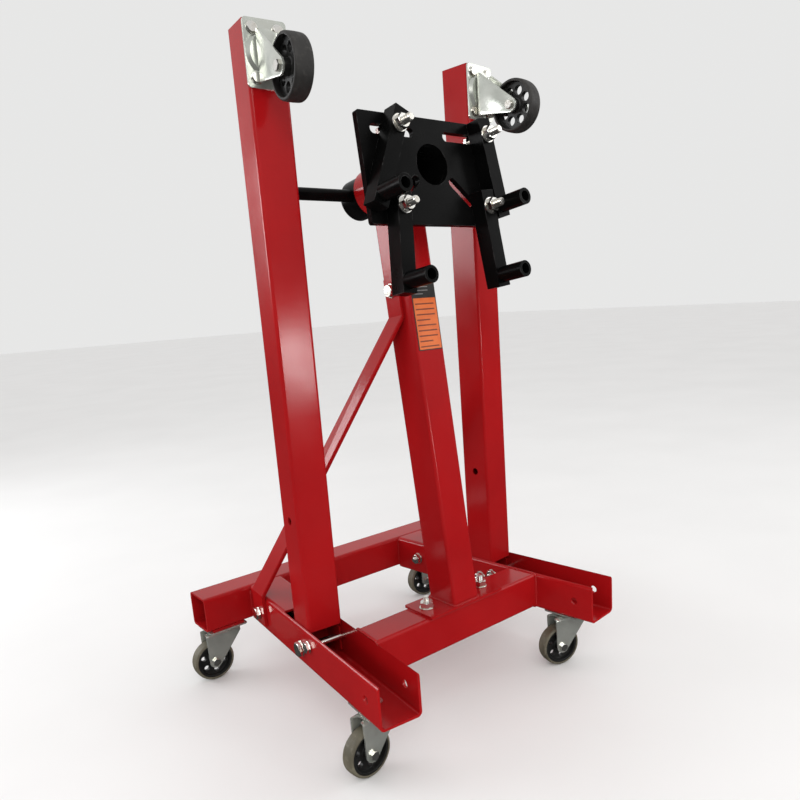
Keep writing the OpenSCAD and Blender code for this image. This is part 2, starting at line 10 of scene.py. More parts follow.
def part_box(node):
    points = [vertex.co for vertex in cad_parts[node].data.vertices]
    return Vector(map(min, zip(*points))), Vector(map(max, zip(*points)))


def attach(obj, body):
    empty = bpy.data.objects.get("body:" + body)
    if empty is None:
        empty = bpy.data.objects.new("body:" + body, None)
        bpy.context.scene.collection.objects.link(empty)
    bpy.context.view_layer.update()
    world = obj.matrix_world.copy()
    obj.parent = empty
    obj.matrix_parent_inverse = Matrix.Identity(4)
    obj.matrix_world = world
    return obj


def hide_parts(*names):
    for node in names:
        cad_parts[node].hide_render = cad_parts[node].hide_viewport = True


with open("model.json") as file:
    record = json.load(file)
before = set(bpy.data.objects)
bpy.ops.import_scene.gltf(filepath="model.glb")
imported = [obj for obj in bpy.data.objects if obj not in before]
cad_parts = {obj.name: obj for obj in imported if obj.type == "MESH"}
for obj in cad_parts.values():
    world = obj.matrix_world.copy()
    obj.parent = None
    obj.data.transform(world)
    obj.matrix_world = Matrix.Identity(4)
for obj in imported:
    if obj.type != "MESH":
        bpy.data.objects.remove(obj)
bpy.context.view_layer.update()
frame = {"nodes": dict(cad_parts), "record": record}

MM = 0.001
NODES = frame["nodes"]
RECORD = frame["record"]
JOINTS = {j["name"]: j for j in RECORD["behaviour"]["joints"]}


# ---------------------------------------------------------------- camera
CAMERA_PLACE = Vector((-0.759, -1.006, 0.685))
CAMERA_YAW = radians(39.97)       # to the right of +Y
CAMERA_PITCH = radians(-12.24)
CAMERA_ROLL = radians(-3.68)
CAMERA_LENS = 32.4                # mm, on a 36 mm sensor
CAMERA_SHIFT = (-0.0476, 0.0686)


def add_camera():
    ahead = Vector((sin(CAMERA_YAW) * cos(CAMERA_PITCH), cos(CAMERA_YAW) * cos(CAMERA_PITCH),
                    sin(CAMERA_PITCH)))
    level = Vector((cos(CAMERA_YAW), -sin(CAMERA_YAW), 0))
    upright = level.cross(ahead)
    right = level * cos(CAMERA_ROLL) + upright * sin(CAMERA_ROLL)
    up = upright * cos(CAMERA_ROLL) - level * sin(CAMERA_ROLL)
    data = bpy.data.cameras.new("camera")
    data.lens = CAMERA_LENS
    data.sensor_width = 36
    data.shift_x, data.shift_y = CAMERA_SHIFT
    data.clip_start = 0.02
    camera = bpy.data.objects.new("camera", data)
    turn = Matrix((right, up, -ahead)).transposed().to_4x4()
    camera.matrix_world = Matrix.Translation(CAMERA_PLACE) @ turn
    bpy.context.scene.collection.objects.link(camera)
    bpy.context.scene.camera = camera


# ---------------------------------------------------------------- studio
def add_area(name, place, target, size, power, tint=(1, 1, 1)):
    data = bpy.data.lights.new(name, "AREA")
    data.shape = "RECTANGLE"
    data.size, data.size_y = size
    data.energy = power
    data.color = tint
    lamp = bpy.data.objects.new(name, data)
    lamp.location = place
    lamp.rotation_euler = (Vector(target) - Vector(place)).to_track_quat("-Z", "Y").to_euler()
    lamp.visible_camera = False
    bpy.context.scene.collection.objects.link(lamp)


BACKDROP = (0.80, 0.80, 0.795)
MIRRORED_SKY = [(0.0, 0.05), (0.45, 0.06), (0.50, 0.16), (0.57, 0.52), (0.66, 0.72), (1.0, 0.70)]


def add_world():
    """Even white surroundings; reflections see them dark below the horizon and bright above it."""
    world = bpy.data.worlds.new("studio")
    world.use_nodes = True
    tree = world.node_tree
    path = tree.nodes.new("ShaderNodeLightPath")
    coords = tree.nodes.new("ShaderNodeTexCoord")
    direction = tree.nodes.new("ShaderNodeSeparateXYZ")
    tree.links.new(coords.outputs["Generated"], direction.inputs["Vector"])
    height = tree.nodes.new("ShaderNodeMapRange")      # from straight down, 0, to straight up, 1
    height.inputs["From Min"].default_value = -1
    tree.links.new(direction.outputs["Z"], height.inputs["Value"])
    mirrored = ramp(tree, height.outputs["Result"], MIRRORED_SKY)

    even = tree.nodes["Background"]
    even.inputs["Color"].default_value = (1.0, 0.99, 0.98, 1)
    even.inputs["Strength"].default_value = 0.92
    seen = even
    for ray, colour in (("Is Glossy Ray", mirrored), ("Is Camera Ray", BACKDROP)):
        other = tree.nodes.new("ShaderNodeBackground")
        if colour is BACKDROP:
            other.inputs["Color"].default_value = (*BACKDROP, 1)
        else:
            tree.links.new(colour, other.inputs["Color"])
        choose = tree.nodes.new("ShaderNodeMixShader")
        tree.links.new(path.outputs[ray], choose.inputs["Fac"])
        tree.links.new(seen.outputs[0], choose.inputs[1])
        tree.links.new(other.outputs[0], choose.inputs[2])
        seen = choose
    tree.links.new(seen.outputs["Shader"], tree.nodes["World Output"].inputs["Surface"])
    bpy.context.scene.world = world
    bpy.context.scene.view_settings.view_transform = "Standard"


def add_studio():
    add_world()
    add_area("key", (-1.6, -2.6, 2.3), (0, 0, 0.6), (1.2, 1.2), 26, (1.0, 0.98, 0.95))
    add_area("window", (-1.90, 2.00, 1.12), (-0.1, 0, 0.5), (1.9, 0.60), 27, (0.97, 0.98, 1.0))
    add_area("fill", (2.4, -1.6, 1.9), (0, 0, 0.6), (1.6, 1.6), 12)
    add_area("lamp", (0.324, -1.744, 0.484), (-0.21, -0.03, 0.61), (0.16, 0.21), 3.4)

    bpy.ops.mesh.primitive_plane_add(size=40, location=(0, 0, -0.0004))
    floor = bpy.context.object
    floor.name = "studio_floor"
    floor.visible_glossy = False
    floor.data.materials.append(floor_material())


# ---------------------------------------------------------------- material helpers
def new_material(name):
    material = bpy.data.materials.new(name)
    material.use_nodes = True
    tree = material.node_tree
    shader = tree.nodes["Principled BSDF"]
    return material, tree, shader


def object_coords(tree, scale=1.0):
    coords = tree.nodes.new("ShaderNodeTexCoord")
    if scale == 1.0:
        return coords.outputs["Object"]
    mapping = tree.nodes.new("ShaderNodeMapping")
    mapping.inputs["Scale"].default_value = scale if hasattr(scale, "__len__") else (scale,) * 3
    tree.links.new(coords.outputs["Object"], mapping.inputs["Vector"])
    return mapping.outputs["Vector"]


def noise(tree, scale, detail=3.0, rough=0.55, coords=None):
    node = tree.nodes.new("ShaderNodeTexNoise")
    node.inputs["Scale"].default_value = scale
    node.inputs["Detail"].default_value = detail
    node.inputs["Roughness"].default_value = rough
    tree.links.new(coords or object_coords(tree), node.inputs["Vector"])
    return node.outputs["Fac"]


def ramp(tree, value, stops):
    """Colour ramp: stops are (place, grey or (r, g, b))."""
    node = tree.nodes.new("ShaderNodeValToRGB")
    points = node.color_ramp.elements
    while len(points) < len(stops):
        points.new(0.5)
    for point, (place, tone) in zip(points, stops):
        point.position = place
        point.color = (*tone, 1) if hasattr(tone, "__len__") else (tone, tone, tone, 1)
    tree.links.new(value, node.inputs["Fac"])
    return node.outputs["Color"]


def mix(tree, factor, low, high, mode="MIX"):
    """Colour mix; factor, low and high are sockets or values."""
    node = tree.nodes.new("ShaderNodeMix")
    node.data_type = "RGBA"
    node.blend_type = mode
    for socket, value in (("Factor", factor), ("A", low), ("B", high)):
        slots = [s for s in node.inputs if s.name == socket]
        slot = slots[0] if socket == "Factor" else [s for s in slots if s.type == "RGBA"][0]
        if isinstance(value, bpy.types.NodeSocket):
            tree.links.new(value, slot)
        else:
            slot.default_value = value if socket == "Factor" else (*value, 1)
    return [s for s in node.outputs if s.type == "RGBA"][0]


def bump(tree, shader, height, strength, distance):
    node = tree.nodes.new("ShaderNodeBump")
    node.inputs["Strength"].default_value = strength
    node.inputs["Distance"].default_value = distance
    tree.links.new(height, node.inputs["Height"])
    tree.links.new(node.outputs["Normal"], shader.inputs["Normal"])


def edge_wear(tree, width=1.6 * MM):
    """Mask that is 1 on sharp edges, broken up by noise."""
    rounded = tree.nodes.new("ShaderNodeBevel")
    rounded.samples = 4
    rounded.inputs["Radius"].default_value = width
    geometry = tree.nodes.new("ShaderNodeNewGeometry")
    product = tree.nodes.new("ShaderNodeVectorMath")
    product.operation = "DOT_PRODUCT"
    tree.links.new(rounded.outputs["Normal"], product.inputs[0])
    tree.links.new(geometry.outputs["Normal"], product.inputs[1])
    sharp = ramp(tree, product.outputs["Value"], [(0.90, 1.0), (0.985, 0.0)])
    spots = ramp(tree, noise(tree, 70, 4), [(0.50, 0.0), (0.64, 1.0)])
    return mix(tree, 1.0, sharp, spots, "MULTIPLY")


# ---------------------------------------------------------------- materials
def red_paint():
    material, tree, shader = new_material("red_paint")
    cloud = noise(tree, 5, 3)
    tone = ramp(tree, cloud, [(0.3, (0.29, 0.0045, 0.006)), (0.7, (0.36, 0.0065, 0.008))])
    speck = ramp(tree, noise(tree, 420, 2), [(0.69, 0.0), (0.74, 1.0)])
    tone = mix(tree, speck, tone, (0.30, 0.004, 0.008))
    worn = edge_wear(tree)
    tone = mix(tree, worn, tone, (0.20, 0.02, 0.015))
    tree.links.new(tone, shader.inputs["Base Color"])
    gloss = ramp(tree, noise(tree, 18, 4), [(0.25, 0.13), (0.75, 0.21)])
    tree.links.new(gloss, shader.inputs["Roughness"])
    shader.inputs["Specular IOR Level"].default_value = 0.26
    bump(tree, shader, noise(tree, 240, 2), 0.13, 0.0006)
    return material


def black_paint():
    material, tree, shader = new_material("black_paint")
    tone = ramp(tree, noise(tree, 14, 4), [(0.3, (0.0015, 0.0015, 0.0015)), (0.7, (0.004, 0.004, 0.004))])
    worn = edge_wear(tree)
    tone = mix(tree, worn, tone, (0.06, 0.06, 0.06))
    tree.links.new(tone, shader.inputs["Base Color"])
    gloss = ramp(tree, noise(tree, 30, 5), [(0.25, 0.24), (0.75, 0.38)])
    tree.links.new(gloss, shader.inputs["Roughness"])
    shader.inputs["Specular IOR Level"].default_value = 0.06
    bump(tree, shader, noise(tree, 340, 3), 0.08, 0.0006)
    return material


def bright_zinc():
    material, tree, shader = new_material("bright_zinc")
    tone = ramp(tree, noise(tree, 60, 3), [(0.25, (0.66, 0.61, 0.52)), (0.5, (0.84, 0.82, 0.77)),
                                           (0.8, (0.74, 0.75, 0.75))])
    dirt = ramp(tree, noise(tree, 210, 4), [(0.64, 0.0), (0.80, 0.45)])
    tone = mix(tree, dirt, tone, (0.33, 0.28, 0.20))
    tree.links.new(tone, shader.inputs["Base Color"])
    gloss = ramp(tree, noise(tree, 120, 4), [(0.25, 0.14), (0.75, 0.27)])
    tree.links.new(gloss, shader.inputs["Roughness"])
    shader.inputs["Metallic"].default_value = 1.0
    bump(tree, shader, noise(tree, 500, 2), 0.04, 0.0003)
    return material


def caster_zinc():
    material, tree, shader = new_material("caster_zinc")
    tone = ramp(tree, noise(tree, 16, 3), [(0.3, (0.46, 0.485, 0.44)), (0.55, (0.62, 0.64, 0.59)),
                                           (0.8, (0.54, 0.54, 0.48))])
    smear = ramp(tree, noise(tree, 90, 4), [(0.66, 0.0), (0.85, 0.4)])
    tone = mix(tree, smear, tone, (0.24, 0.23, 0.19))
    tree.links.new(tone, shader.inputs["Base Color"])
    streak = noise(tree, 34, 3, coords=object_coords(tree, (1, 1, 1.8)))
    gloss = ramp(tree, streak, [(0.25, 0.16), (0.75, 0.27)])
    tree.links.new(gloss, shader.inputs["Roughness"])
    shader.inputs["Metallic"].default_value = 0.72
    bump(tree, shader, streak, 0.03, 0.0003)
    return material


def wheel_black():
    material, tree, shader = new_material("wheel_black")
    tone = ramp(tree, noise(tree, 40, 4), [(0.3, (0.006, 0.006, 0.006)), (0.7, (0.014, 0.014, 0.013))])
    dust = ramp(tree, noise(tree, 150, 5), [(0.62, 0.0), (0.8, 0.5)])
    tone = mix(tree, dust, tone, (0.09, 0.085, 0.075))
    tree.links.new(tone, shader.inputs["Base Color"])
    tree.links.new(ramp(tree, noise(tree, 70, 4), [(0.3, 0.34), (0.7, 0.52)]), shader.inputs["Roughness"])
    bump(tree, shader, noise(tree, 500, 3), 0.15, 0.0005)
    return material


def rubber(name, dark, light, scuff):
    material, tree, shader = new_material(name)
    tone = ramp(tree, noise(tree, 30, 5), [(0.3, dark), (0.7, light)])
    marks = ramp(tree, noise(tree, 130, 6), [(0.55, 0.0), (0.75, 0.7)])
    tone = mix(tree, marks, tone, scuff)
    tree.links.new(tone, shader.inputs["Base Color"])
    tree.links.new(ramp(tree, noise(tree, 60, 4), [(0.3, 0.45), (0.7, 0.68)]), shader.inputs["Roughness"])
    bump(tree, shader, noise(tree, 700, 4), 0.25, 0.0006)
    return material


def tread_tan():
    return rubber("tread_tan", (0.070, 0.062, 0.040), (0.14, 0.125, 0.085), (0.23, 0.21, 0.16))


def tread_black():
    return rubber("tread_black", (0.012, 0.011, 0.010), (0.024, 0.022, 0.020), (0.055, 0.05, 0.044))


def black_plastic():
    material, tree, shader = new_material("black_plastic")
    tone = ramp(tree, noise(tree, 50, 3), [(0.3, (0.010, 0.010, 0.011)), (0.7, (0.022, 0.022, 0.022))])
    tree.links.new(tone, shader.inputs["Base Color"])
    tree.links.new(ramp(tree, noise(tree, 90, 3), [(0.3, 0.42), (0.7, 0.58)]), shader.inputs["Roughness"])
    bump(tree, shader, noise(tree, 900, 2), 0.2, 0.0004)
    return material


def label_film(name, low, high):
    material, tree, shader = new_material(name)
    tone = ramp(tree, noise(tree, 45, 3), [(0.3, low), (0.7, high)])
    tree.links.new(tone, shader.inputs["Base Color"])
    tree.links.new(ramp(tree, noise(tree, 35, 3), [(0.3, 0.3), (0.7, 0.46)]), shader.inputs["Roughness"])
    bump(tree, shader, noise(tree, 400, 2), 0.05, 0.0003)
    return material


def floor_material():
    material, tree, shader = new_material("studio_floor")
    tone = ramp(tree, noise(tree, 2.0, 3), [(0.3, 0.80), (0.7, 0.83)])
    tree.links.new(tone, shader.inputs["Base Color"])
    shader.inputs["Roughness"].default_value = 0.6
    return material


MATERIALS = {
    "red_paint": red_paint(),
    "black_paint": black_paint(),
    "bright_zinc": bright_zinc(),
    "caster_zinc": caster_zinc(),
    "wheel_black": wheel_black(),
    "tread_tan": tread_tan(),
    "tread_black": tread_black(),
    "black_plastic": black_plastic(),
    "label": label_film("label", (0.016, 0.015, 0.015), (0.03, 0.028, 0.026)),
}
LABEL_ORANGE = label_film("label_orange", (0.62, 0.12, 0.025), (0.70, 0.16, 0.035))
LABEL_GREY = label_film("label_grey", (0.20, 0.19, 0.19), (0.28, 0.27, 0.26))
LABEL_BROWN = label_film("label_brown", (0.16, 0.035, 0.015), (0.22, 0.05, 0.02))


def tint(piece, material):
    """Another shade of a slot's finish on one piece."""
    piece.data.materials.clear()
    piece.data.materials.append(material)


# ---------------------------------------------------------------- frames taken from the CAD
def local_frame(origin, x, z):
    """Matrix of a frame with its z axis on z and its x axis as near x as it can be."""
    z = Vector(z).normalized()
    y = z.cross(Vector(x)).normalized()
    turn = Matrix((y.cross(z), y, z)).transposed().to_4x4()
    return Matrix.Translation(Vector(origin)) @ turn


def local_box(node, frame_matrix, keep=lambda point: True):
    """Lowest and highest corners of a CAD node, or of the vertices to keep, measured in a frame."""
    inverse = frame_matrix.inverted()
    points = [inverse @ v.co for v in NODES[node].data.vertices if keep(v.co)]
    low = Vector([min(p[i] for p in points) for i in range(3)])
    high = Vector([max(p[i] for p in points) for i in range(3)])
    return low, high


MAST_UP = -Vector(JOINTS["index_pin_drop"]["axis"])
HEAD = local_frame(JOINTS["head_turn"]["pos_m"], (1, 0, 0), MAST_UP)     # x right, y back, z up the mast
CASTERS = ("rear_left", "rear_right", "front_left", "front_right", "leg_left", "leg_right")
ARMS = ("upper_left", "upper_right", "lower_left", "lower_right")


def caster_frame(name):
    """Frame with the swivel axis on z and the mounting face at z = 0, and the axle's place in it."""
    swivel = JOINTS["swivel_" + name]
    axle = Vector(JOINTS["roll_" + name]["pos_m"])
    trail = axle - Vector(swivel["pos_m"])
    matrix = local_frame(swivel["pos_m"], trail, swivel["axis"])
    return matrix, matrix.inverted() @ axle


def arm_frame(name):
    """On the arm's bolt, z forwards along it and x to the right."""
    joint = JOINTS["arm_swing_" + name]
    return local_frame(joint["pos_m"], (1, 0, 0), joint["axis"])


BODY_OF = {node: body for body, nodes in RECORD["behaviour"]["bodies"].items() for node in nodes}
LABEL_NODE = next(name for name in NODES if name.endswith("_label"))
LEFT_FOLD = JOINTS["leg_fold_left"]
SPLAY = atan2(-LEFT_FOLD["axis"][1], LEFT_FOLD["axis"][0])      # outward turn of each rail
LEG_X = abs(LEFT_FOLD["pos_m"][0]) + LEFT_FOLD["pos_m"][1] * tan(SPLAY)
LEAN = atan2(JOINTS["head_turn"]["axis"][2], -JOINTS["head_turn"]["axis"][1])
FOOT_PLATE_T = 4 * MM
FOOT_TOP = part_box("cross_tube")[1].z + FOOT_PLATE_T
MAST_WIDTH = 56 * MM
MAST_X = HEAD.translation.x
MAST_Y = HEAD.translation.y - (HEAD.translation.z - FOOT_TOP) * tan(LEAN)


def mast_section():
    """Width and depth of the mast tube."""
    label_back = local_box(LABEL_NODE, HEAD)[1][1]      # lies on the mast's front
    return MAST_WIDTH, -2 * label_back


def side_frame(side):
    """Frame of one side of the base: x outwards to the right, y back along the rail."""
    return Matrix.Translation((side * LEG_X, 0, 0)) @ Matrix.Rotation(side * SPLAY, 4, "Z")


# ---------------------------------------------------------------- mesh helpers
def add_piece(name, verts, faces, matrix, slot, body, replaced=(), sharp=35):
    """New piece from points in a frame, riding on a CAD body."""
    mesh = bpy.data.meshes.new(name)
    mesh.from_pydata([tuple(v) for v in verts], [], [tuple(f) for f in faces])
    shaping = bmesh.new()
    shaping.from_mesh(mesh)
    bmesh.ops.recalc_face_normals(shaping, faces=shaping.faces)
    shaping.to_mesh(mesh)
    shaping.free()
    mesh.transform(matrix)
    for face in mesh.polygons:
        face.use_smooth = True
    mesh.set_sharp_from_angle(angle=radians(sharp))
    mesh.materials.append(MATERIALS[slot])
    piece = bpy.data.objects.new(name, mesh)
    bpy.context.scene.collection.objects.link(piece)
    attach(piece, body)
    if replaced:
        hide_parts(*replaced)
    return piece


class Shape:
    """Closed solids collected into one mesh."""

    def __init__(self):
        self.verts = []
        self.faces = []

    def grid(self, rows, close_ends=True):
        """Rows of points, each row a closed ring, skinned into a solid."""
        first = len(self.verts)
        count = len(rows[0])
        for row in rows:
            self.verts += [Vector(p) for p in row]
        for i in range(len(rows) - 1):
            for j in range(count):
                a, b = first + i * count + j, first + i * count + (j + 1) % count
                self.faces.append((a, b, b + count, a + count))
        if close_ends:
            self.faces.append(tuple(first + j for j in reversed(range(count))))
            last = first + (len(rows) - 1) * count
            self.faces.append(tuple(last + j for j in range(count)))

    def loop(self, rows):
        """Rows of points round a closed path, the last row joined to the first."""
        first = len(self.verts)
        count = len(rows[0])
        for row in rows:
            self.verts += [Vector(p) for p in row]
        for i in range(len(rows)):
            for j in range(count):
                a, b = i * count + j, i * count + (j + 1) % count
                c = (i + 1) % len(rows) * count
                self.faces.append((first + a, first + b, first + c + (j + 1) % count, first + c + j))

    def lathe(self, profile, steps=64, place=None):
        """Profile of (radius, height) turned round z and capped at both ends."""
        place = place or Matrix.Identity(4)
        turns = [2 * pi * k / steps for k in range(steps)]
        self.grid([[place @ Vector((radius * cos(turn), radius * sin(turn), height)) for turn in turns]
                   for radius, height in profile])

    def ring(self, profile, steps=64, place=None):
        """Closed profile of (radius, height), clear of the axis, turned round z."""
        place = place or Matrix.Identity(4)
        rows = []
        for k in range(steps):
            turn = 2 * pi * k / steps
            rows.append([place @ Vector((r * cos(turn), r * sin(turn), h)) for r, h in profile])
        self.loop(rows)


def hex_radius(turn, across):
    """Distance from a hexagon's middle to its side at an angle."""
    return across / 2 / cos((turn + pi / 6) % (pi / 3) - pi / 6)


def add_hex(shape, across, low, high, place, chamfer_low=True, chamfer_high=True):
    """Hexagon nut or head with turned chamfers, from height low to height high."""
    steps = 48
    levels = 5
    flat = across / 2 * 0.97
    corner = across / 2 / cos(pi / 6)
    depth = (corner - flat) * tan(radians(30))

    def ring_at(height, limit):
        ring = []
        for k in range(steps):
            turn = 2 * pi * k / steps
            radius = min(hex_radius(turn, across), limit)
            ring.append(place @ Vector((radius * cos(turn), radius * sin(turn), height)))
        return ring

    rows = []
    if chamfer_low:
        rows += [ring_at(low + depth * k / levels, flat + (corner - flat) * k / levels)
                 for k in range(levels)]
    rows.append(ring_at(low + (depth if chamfer_low else 0), corner))
    rows.append(ring_at(high - (depth if chamfer_high else 0), corner))
    if chamfer_high:
        rows += [ring_at(high - depth * k / levels, flat + (corner - flat) * k / levels)
                 for k in reversed(range(levels))]
    shape.grid(rows)


def add_thread(shape, radius, pitch, low, high, place):
    """Threaded bar with a chamfered free end at height high."""
    steps = 24
    rows_per_turn = 8
    depth = pitch * 0.55
    tip_share = 0.80          # radius of the free end
    rows = []
    count = int((high - low) / pitch * rows_per_turn)
    for i in range(count + 1):
        height = low + (high - low) * i / count
        run_out = min(1, max(0, (high - height) / (1.2 * pitch)))
        row = []
        for k in range(steps):
            turn = 2 * pi * k / steps
            phase = (height / pitch - k / steps) % 1
            cut = depth * (1 - abs(2 * phase - 1))
            r = (radius - cut) * (tip_share + (1 - tip_share) * run_out)
            row.append(place @ Vector((r * cos(turn), r * sin(turn), height)))
        rows.append(row)
    shape.grid(rows)


def washer_profile(inner, outer, low, high, edge):
    return [(inner, low), (outer - edge, low), (outer, low + edge),
            (outer, high - edge), (outer - edge, high), (inner, high)]


# ---------------------------------------------------------------- fasteners
FINGER_LENGTH = 50 * MM       # from an arm's bar to its finger's end
LEG_PLATE_T = 3 * MM          # under the leg casters' screw heads
SIDES = ((-1, "left"), (1, "right"))
BASE_BOLTS = (("pivot_bolts", 6, 22, 0, 5), ("stop_bolts", 4, 17, 0, 5), ("brace_bolts", 5, 19, 6, 6))
BASE_BOLT_TOP = 0.3           # the braces' lower bolts are below this height, their upper one above it


def add_bolt(shape, place, head_face, nut_face, radius, across, tail):
    """Through bolt along z: head and washer below head_face, washer, nut and thread above nut_face."""
    washer_t = 2 * MM
    head_t = 1.3 * radius
    nut_t = 1.6 * radius
    washer_r = 0.62 * across
    head_base = head_face - washer_t
    nut_base = nut_face + washer_t
    add_hex(shape, across, head_base - head_t, head_base, place, chamfer_high=False)
    shape.ring(washer_profile(radius, washer_r, head_base, head_face, 0.4 * MM), 48, place)
    shape.lathe([(radius, head_base - 0.5 * MM), (radius, nut_base + 1 * MM)], 40, place)
    shape.ring(washer_profile(radius, washer_r, nut_face, nut_base, 0.4 * MM), 48, place)
    add_hex(shape, across, nut_base, nut_base + nut_t, place @ Matrix.Rotation(0.35, 4, "Z"))
    add_thread(shape, radius, 0.25 * radius, nut_base + nut_t - 1 * MM, nut_base + nut_t + tail, place)


def add_base_bolts():
    """Bolts across the rails: leg pivots, leg stops and the feet of the braces.

    BASE_BOLTS holds the node, and its radius, size across flats, strap under the head and tail in mm."""
    beside_rail = 0.1
    for node, radius, across, strap, tail in BASE_BOLTS:
        shape = Shape()
        for side, name in SIDES:
            place = side_frame(side)
            low, high = local_box(
                node, place, lambda point: side * point.x > beside_rail and point.z < BASE_BOLT_TOP)
            wall = local_box("rail_" + name, place)[1][0]
            middle = Matrix.Translation((0, (low[1] + high[1]) / 2, (low[2] + high[2]) / 2))
            turn = Matrix.Rotation(radians(-90 * side), 4, "Y")
            add_bolt(shape, place @ middle @ turn, -wall - strap * MM, wall,
                     radius * MM, across * MM, tail * MM)
        if node == "brace_bolts":
            low, high = local_box(node, HEAD, lambda point: point.z > BASE_BOLT_TOP)
            middle = Matrix.Translation((0, (low[1] + high[1]) / 2, (low[2] + high[2]) / 2))
            reach = mast_section()[0] / 2 + strap * MM
            add_bolt(shape, HEAD @ middle @ Matrix.Rotation(radians(90), 4, "Y"), -reach, reach,
                     radius * MM, across * MM, tail * MM)
        add_piece(node + "_detail", shape.verts, shape.faces, Matrix.Identity(4), "bright_zinc", "frame",
                  [node], 25)


def add_mast_bolts():
    """Bolts that clamp the mast's foot to the cross tube."""
    radius, across, tail = 6 * MM, 21 * MM, 9 * MM
    shape = Shape()
    for side, _ in SIDES:
        low, high = local_box("mast_bolts", Matrix.Identity(4), lambda point: side * (point.x - MAST_X) > 0)
        middle = (low + high) / 2
        place = Matrix.Translation((middle.x, middle.y, 0))
        add_bolt(shape, place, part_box("cross_tube")[0].z, FOOT_TOP, radius, across, tail)
    add_piece("mast_bolts_detail", shape.verts, shape.faces, Matrix.Identity(4), "bright_zinc", "frame",
              ["mast_bolts"], 25)


def add_leg_screws():
    """Four hexagon bolts with flanged heads through each leg caster's plate, with nuts inside the leg."""
    across = 13 * MM
    radius = 4 * MM
    flange_r = 8.4 * MM
    flange_t = 1.2 * MM
    lap = 0.1 * MM
    nut_low, nut_high = 3 * MM, 9 * MM      # on the inner side of the leg's wall
    for _, name in SIDES:
        node = "leg_screws_" + name
        matrix = caster_frame("leg_" + name)[0]
        inverse = matrix.inverted()
        low, high = local_box(node, matrix)
        seat = -LEG_PLATE_T
        shape = Shape()
        for x_side in (-1, 1):
            for y_side in (-1, 1):
                def in_quarter(point):
                    local = inverse @ point
                    return local.x * x_side > 0 and local.y * y_side > 0

                one = local_box(node, matrix, in_quarter)
                middle = (one[0] + one[1]) / 2
                place = Matrix.Translation((middle.x, middle.y, 0))
                add_hex(shape, across, low[2], seat - flange_t, place @ Matrix.Rotation(x_side, 4, "Z"),
                        chamfer_high=False)
                flange = washer_profile(radius - lap, flange_r, seat - flange_t - lap, seat, 0.3 * MM)
                shape.ring(flange, 40, place)
                shape.lathe([(radius, seat - 1 * MM), (radius, high[2])], 32, place)
                add_hex(shape, across, nut_low, nut_high, place)
        add_piece("leg_bolts_" + name, shape.verts, shape.faces, matrix, "bright_zinc", BODY_OF[node],
                  [node], 25)


def add_studs():
    """Bolt head behind the plate, threaded stud, large washer and hexagon nut in front of each arm."""
    radius, pitch, across = 6 * MM, 1.75 * MM, 19 * MM
    head_t, nut_t = 7 * MM, 10 * MM
    washer_r, washer_t = 13 * MM, 2.5 * MM
    for name in ARMS:
        place = arm_frame(name)
        body = "stud_" + name
        low, high = local_box(body, place)
        bar_face = local_box("arm_" + name, place)[1][2] - FINGER_LENGTH
        seat = bar_face + 0.3 * MM
        nut_low = seat + washer_t
        shape = Shape()
        add_hex(shape, across, low[2], low[2] + head_t, Matrix.Identity(4), chamfer_high=False)
        shape.lathe([(radius, low[2] + head_t - 0.5 * MM), (radius, nut_low)], 40)
        shape.ring(washer_profile(radius + 0.1 * MM, washer_r, seat, nut_low, 0.5 * MM), 56)
        add_hex(shape, across, nut_low, nut_low + nut_t, Matrix.Rotation(0.3, 4, "Z"))
        add_thread(shape, radius, pitch, nut_low + nut_t - 1 * MM, high[2], Matrix.Identity(4))
        add_piece("stud_set_" + name, shape.verts, shape.faces, place, "bright_zinc", body, [body], 25)


# ---------------------------------------------------------------- casters
def add_tyres():
    """Moulded treads with a slightly crowned face, shoulders and two fine mould lines."""
    band = 5 * MM
    crown = 0.5 * MM
    shoulder = 3.6 * MM
    mould_line = 0.25 * MM
    rows = 16
    for name in CASTERS:
        matrix, axle = caster_frame(name)
        place = matrix @ Matrix.Translation(axle) @ Matrix.Rotation(radians(-90), 4, "X")
        low, high = local_box("tyre_" + name, place)
        radius, half = high[0], high[2]
        side = [(radius - band, half - 0.4 * MM), (radius - band + 0.8 * MM, half)]
        for k in range(9):
            turn = radians(90 - 10 * k)
            side.append((radius - crown - shoulder + shoulder * cos(turn),
                         half - shoulder + shoulder * sin(turn)))
        face = []
        for k in range(1, rows):
            across = (half - shoulder) * (1 - 2 * k / rows)
            line = mould_line if k in (5, rows - 5) else 0.0
            face.append((radius - crown * (across / half) ** 2 * 1.4 - line, across))
        shape = Shape()
        shape.ring(side + face + [(r, -h) for r, h in reversed(side)], 96)
        slot = "tread_black" if name.startswith("leg") else "tread_tan"
        add_piece("tread_" + name, shape.verts, shape.faces, place, slot, "wheel_" + name,
                  ["tyre_" + name], 30)


FORK_SHEET = 3 * MM
FORK_BEND = 5 * MM
FORK_TIP = 12 * MM
FORK_GAP = 1.6 * MM           # between the tread and a cheek
CROWN_OVERHANG = 5 * MM       # the crown reaches this much further forwards than the cheeks
CHEEK_BACK = 40 * MM          # top of a cheek, behind the swivel axis
CROWN_ROWS, BEND_ROWS, CHEEK_ROWS, TIP_ROWS = 9, 6, 14, 7


